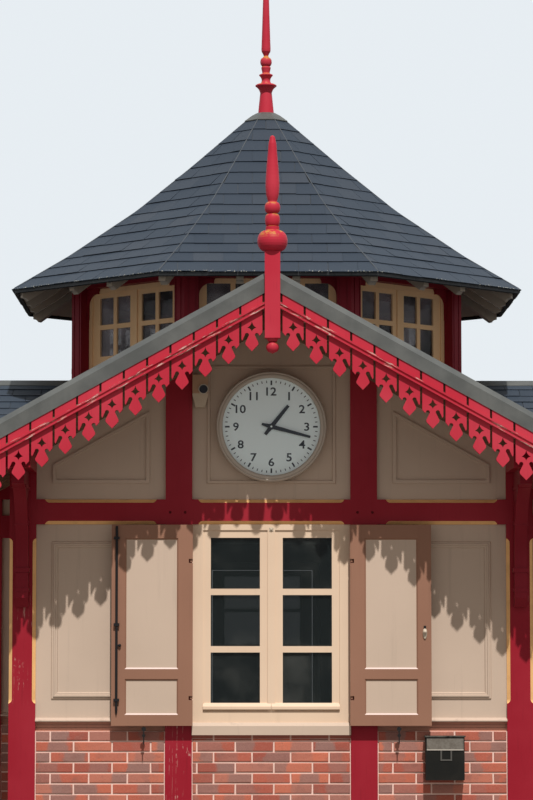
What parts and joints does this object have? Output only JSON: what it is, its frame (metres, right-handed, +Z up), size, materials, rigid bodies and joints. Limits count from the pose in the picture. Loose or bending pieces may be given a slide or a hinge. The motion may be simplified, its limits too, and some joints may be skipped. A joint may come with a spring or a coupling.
{
  "type": "railway station building",
  "caption": "Cross-shaped timber-framed station building on a brick base, with slate roofs, cut bargeboards, a gable clock, folding shutters and an octagonal lantern.",
  "frame": {"origin": "middle of the building at ground level, under the lantern", "axes": "front gable with the clock faces -Y, +X to its right seen from the front, +Z up"},
  "size_m": [8.7976, 8.7976, 6.4467],
  "materials": {
    "concrete": "rough",
    "brick": "rough",
    "red_timber": "painted satin",
    "roof_timber": "stained matte",
    "beige_paint": "painted satin",
    "cream_paint": "painted satin",
    "brown_paint": "painted satin",
    "slate": "matte",
    "zinc": "weathered",
    "glass": "clear",
    "clock_rim": "satin",
    "clock_face": "satin",
    "black_metal": "satin",
    "camera_shell": "matte"
  },
  "bodies": {
    "building": {"floor_slab": "concrete", "brickwork": "brick", "corner_posts": "red_timber", "wall_posts": "red_timber", "rails": "red_timber", "wall_plates": "red_timber", "roof_beams": "roof_timber", "rafters": "roof_timber", "weather_bars": "beige_paint", "wall_panels": "beige_paint", "window_frames": "cream_paint", "window_casements": "cream_paint", "window_glass": "glass", "window_sills": "beige_paint", "door_frame": "cream_paint", "entrance_door": "brown_paint", "door_glass": "glass", "front_roof": "slate", "right_roof": "slate", "back_roof": "slate", "left_roof": "slate", "ridge_caps": "zinc", "valley_gutters": "zinc", "verge_flashings": "zinc", "front_bargeboards": "red_timber", "back_bargeboards": "red_timber", "side_bargeboards": "red_timber", "barge_battens": "red_timber", "gable_finials": "red_timber", "eave_brackets": "red_timber", "lantern_rings": "red_timber", "lantern_posts": "red_timber", "lantern_aprons": "red_timber", "lantern_windows": "cream_paint", "lantern_glass": "glass", "lantern_spandrels": "red_timber", "lantern_rafters": "beige_paint", "lantern_soffit": "beige_paint", "lantern_fascia": "black_metal", "lantern_roof": "slate", "lantern_cap": "zinc", "lantern_finial": "red_timber", "clock_case": "clock_rim", "clock_dial": "clock_face", "side_shutter_frames": "brown_paint", "side_shutter_panels": "beige_paint", "shutter_ironwork": "black_metal", "security_camera": "camera_shell", "wall_box": "black_metal"},
    "left_shutter": {"left_shutter_frame": "brown_paint", "left_shutter_panels": "beige_paint", "left_shutter_hinges": "brown_paint", "left_shutter_fittings": "black_metal"},
    "right_shutter": {"right_shutter_frame": "brown_paint", "right_shutter_panels": "beige_paint", "right_shutter_hinges": "brown_paint", "right_shutter_fittings": "beige_paint"},
    "hour_hand": {"hour_hand": "black_metal"},
    "minute_hand": {"minute_hand": "black_metal"}
  },
  "joints": [
    {"name": "left_shutter_hinge", "type": "hinge", "parent": "building", "child": "left_shutter", "pos_m": [-0.479, -3.713, 1.7], "axis": [0, 0, 1], "range_deg": [0, 180]},
    {"name": "right_shutter_hinge", "type": "hinge", "parent": "building", "child": "right_shutter", "pos_m": [0.479, -3.713, 1.7], "axis": [0, 0, -1], "range_deg": [0, 180]},
    {"name": "hour_hand_turn", "type": "hinge", "parent": "building", "child": "hour_hand", "pos_m": [0, -3.66, 2.907], "axis": [0, 1, 0], "continuous": true},
    {"name": "minute_hand_turn", "type": "hinge", "parent": "building", "child": "minute_hand", "pos_m": [0, -3.66, 2.907], "axis": [0, 1, 0], "continuous": true}
  ],
  "couplings": [
    {"joint": "minute_hand_turn", "follows": "hour_hand_turn", "ratio": 12}
  ]
}
